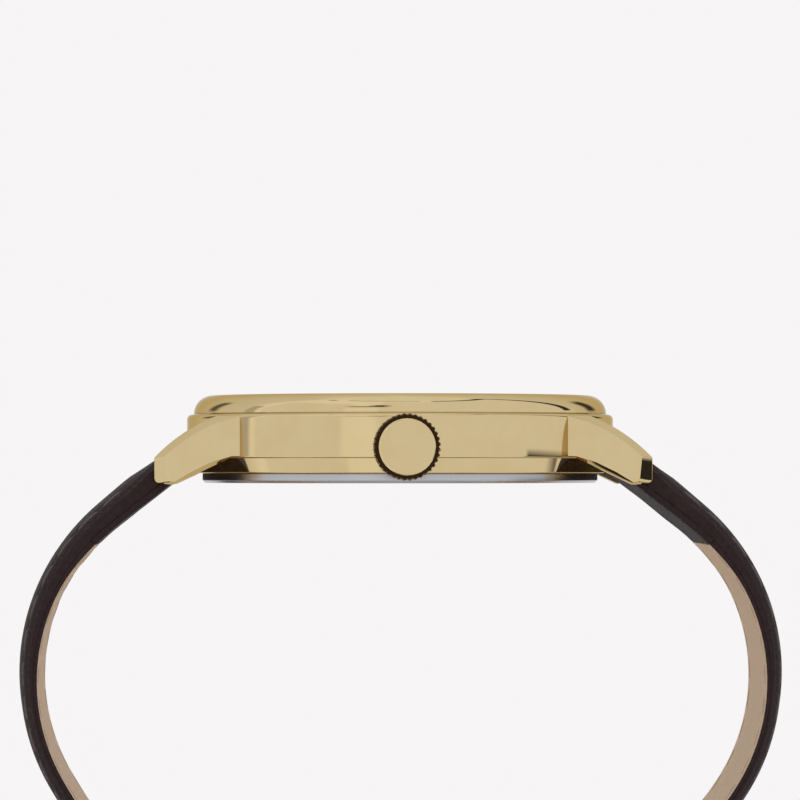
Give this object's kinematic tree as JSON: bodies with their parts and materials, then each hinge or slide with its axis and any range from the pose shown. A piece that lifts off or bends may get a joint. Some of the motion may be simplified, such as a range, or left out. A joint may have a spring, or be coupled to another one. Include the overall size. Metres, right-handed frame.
{
  "type": "wristwatch",
  "caption": "Slim round wristwatch with a polished gold case, fluted crown, stepped-motor movement with hands, and an open padded leather strap with tang buckle.",
  "frame": {"origin": "middle of the case back's flat wrist face", "axes": "+Z from the wrist face to the crystal, +X to 12 o'clock and the buckle strap, -Y to 3 o'clock and the crown"},
  "size_m": [0.0716, 0.0436, 0.0683],
  "materials": {
    "case_gold": "mirror-polished pale gold plating",
    "case_steel": "polished stainless steel",
    "crystal_glass": "clear flat mineral glass",
    "gasket_rubber": "black nitrile rubber",
    "gasket_nylon": "white nylon",
    "dial_paint": "ivory sunray lacquer",
    "strap_leather": "dark brown semi-gloss grained leather",
    "lining_leather": "tan calf lining",
    "strap_padding": "bonded leather padding",
    "movement_brass": "fine-brushed brass",
    "movement_steel": "turned steel",
    "blued_steel": "blued steel screws",
    "cell_steel": "nickel-plated button cell",
    "movement_plastic": "moulded white spacer plastic",
    "circuit_green": "green glass-fibre board",
    "chip_black": "black epoxy",
    "coil_copper": "enamelled copper wire",
    "core_iron": "soft iron laminations"
  },
  "bodies": {
    "case": {"mid_case": "case_gold", "bezel": "case_gold", "crystal": "crystal_glass", "crystal_gasket": "gasket_nylon", "dial_flange": "dial_paint", "case_back": "case_steel", "case_back_gasket": "gasket_rubber", "crown_tube": "case_steel", "dial": "dial_paint", "hour_markers": "case_gold", "movement_ring": "movement_plastic", "main_plate": "movement_brass", "train_bridge": "movement_brass", "movement_screws": "blued_steel", "battery": "cell_steel", "battery_clamp": "movement_steel", "circuit_board": "circuit_green", "quartz_can": "cell_steel", "ic_chip": "chip_black", "coil_core": "core_iron", "coil_winding": "coil_copper", "stator": "core_iron", "bar_12_tube": "movement_steel", "bar_6_tube": "movement_steel", "bar_springs": "movement_steel"},
    "setting_clutch": {"setting_pinion": "movement_steel"},
    "crown": {"crown": "case_gold", "crown_gasket": "gasket_rubber", "setting_stem": "movement_steel"},
    "seconds": {"fourth_wheel": "movement_brass", "second_hand": "case_gold"},
    "third": {"third_wheel": "movement_brass"},
    "minutes": {"centre_wheel": "movement_brass", "cannon_pinion": "movement_steel", "minute_hand": "case_gold"},
    "motion_minute": {"minute_wheel": "movement_brass"},
    "hours": {"hour_wheel": "movement_brass", "hour_hand": "case_gold"},
    "setting_idler": {"setting_wheel": "movement_brass"},
    "fifth": {"fifth_wheel": "movement_brass"},
    "step_rotor": {"rotor": "chip_black"},
    "strap_12": {"strap_12_upper": "strap_leather", "strap_12_filler": "strap_padding", "strap_12_lining": "lining_leather", "fixed_keeper": "strap_leather"},
    "keeper": {"free_keeper": "strap_leather"},
    "buckle": {"buckle_frame": "case_gold", "buckle_bar": "movement_steel"},
    "tang": {"buckle_tang": "case_gold"},
    "strap_6": {"strap_6_upper": "strap_leather", "strap_6_filler": "strap_padding", "strap_6_lining": "lining_leather"},
    "pin_12_3h": {"bar_12_pin_3h": "movement_steel"},
    "pin_12_9h": {"bar_12_pin_9h": "movement_steel"},
    "pin_6_3h": {"bar_6_pin_3h": "movement_steel"},
    "pin_6_9h": {"bar_6_pin_9h": "movement_steel"}
  },
  "joints": [
    {"name": "crown_turn", "type": "hinge", "parent": "case", "child": "setting_clutch", "pos_m": [0, -0.0085, 0.00328], "axis": [0, -1, 0], "continuous": true},
    {"name": "crown_pull", "type": "slide", "parent": "setting_clutch", "child": "crown", "axis": [0, -1, 0], "range_m": [0, 0.001]},
    {"name": "seconds_turn", "type": "hinge", "parent": "case", "child": "seconds", "pos_m": [0, 0, 0.0025], "axis": [0, 0, -1], "continuous": true},
    {"name": "third_turn", "type": "hinge", "parent": "case", "child": "third", "pos_m": [-0.00265, 0.00153, 0.0025], "axis": [0, 0, -1], "continuous": true},
    {"name": "minutes_turn", "type": "hinge", "parent": "case", "child": "minutes", "pos_m": [0, 0, 0.0025], "axis": [0, 0, -1], "continuous": true},
    {"name": "motion_minute_turn", "type": "hinge", "parent": "case", "child": "motion_minute", "pos_m": [0.00079, -0.00277, 0.0044], "axis": [0, 0, -1], "continuous": true},
    {"name": "hours_turn", "type": "hinge", "parent": "case", "child": "hours", "pos_m": [0, 0, 0.0048], "axis": [0, 0, -1], "continuous": true},
    {"name": "setting_idler_turn", "type": "hinge", "parent": "case", "child": "setting_idler", "pos_m": [0.0005, -0.00612, 0.0044], "axis": [0, 0, -1], "continuous": true},
    {"name": "fifth_turn", "type": "hinge", "parent": "case", "child": "fifth", "pos_m": [0.00286, -0.00104, 0.0025], "axis": [0, 0, -1], "continuous": true},
    {"name": "rotor_turn", "type": "hinge", "parent": "case", "child": "step_rotor", "pos_m": [0.00398, -0.00298, 0.0025], "axis": [0, 0, -1], "continuous": true},
    {"name": "strap_12_hinge", "type": "hinge", "parent": "case", "child": "strap_12", "pos_m": [0.0213, 0, 0.0015], "axis": [0, -1, 0], "range_deg": [0, 70]},
    {"name": "strap_6_hinge", "type": "hinge", "parent": "case", "child": "strap_6", "pos_m": [-0.0213, 0, 0.0015], "axis": [0, 1, 0], "range_deg": [0, 70]},
    {"name": "free_keeper_slide", "type": "hinge", "parent": "strap_12", "child": "keeper", "pos_m": [0.00338, 0, -0.00048], "axis": [0, -1, 0], "range_deg": [0, 8.5]},
    {"name": "buckle_hinge", "type": "hinge", "parent": "strap_12", "child": "buckle", "pos_m": [-0.0004, 0, -0.0413], "axis": [0, 1, 0], "range_deg": [-55, 60]},
    {"name": "tang_hinge", "type": "hinge", "parent": "buckle", "child": "tang", "pos_m": [-0.0004, 0, -0.0413], "axis": [0, -1, 0], "range_deg": [0, 110]},
    {"name": "bar_12_pin_3h_press", "type": "slide", "parent": "case", "child": "pin_12_3h", "axis": [0, 1, 0], "range_m": [0, 0.0012], "stiffness_N_per_m": 1500, "springref_m": -0.0005},
    {"name": "bar_12_pin_9h_press", "type": "slide", "parent": "case", "child": "pin_12_9h", "axis": [0, -1, 0], "range_m": [0, 0.0012], "stiffness_N_per_m": 1500, "springref_m": -0.0005},
    {"name": "bar_6_pin_3h_press", "type": "slide", "parent": "case", "child": "pin_6_3h", "axis": [0, 1, 0], "range_m": [0, 0.0012], "stiffness_N_per_m": 1500, "springref_m": -0.0005},
    {"name": "bar_6_pin_9h_press", "type": "slide", "parent": "case", "child": "pin_6_9h", "axis": [0, -1, 0], "range_m": [0, 0.0012], "stiffness_N_per_m": 1500, "springref_m": -0.0005}
  ],
  "couplings": [
    {"joint": "third_turn", "follows": "seconds_turn", "ratio": -0.13333},
    {"joint": "minutes_turn", "follows": "seconds_turn", "ratio": 0.016667},
    {"joint": "motion_minute_turn", "follows": "seconds_turn", "ratio": -0.0055556},
    {"joint": "hours_turn", "follows": "seconds_turn", "ratio": 0.0013889},
    {"joint": "setting_idler_turn", "follows": "seconds_turn", "ratio": 0.01},
    {"joint": "fifth_turn", "follows": "seconds_turn", "ratio": -5},
    {"joint": "rotor_turn", "follows": "seconds_turn", "ratio": 30}
  ]
}
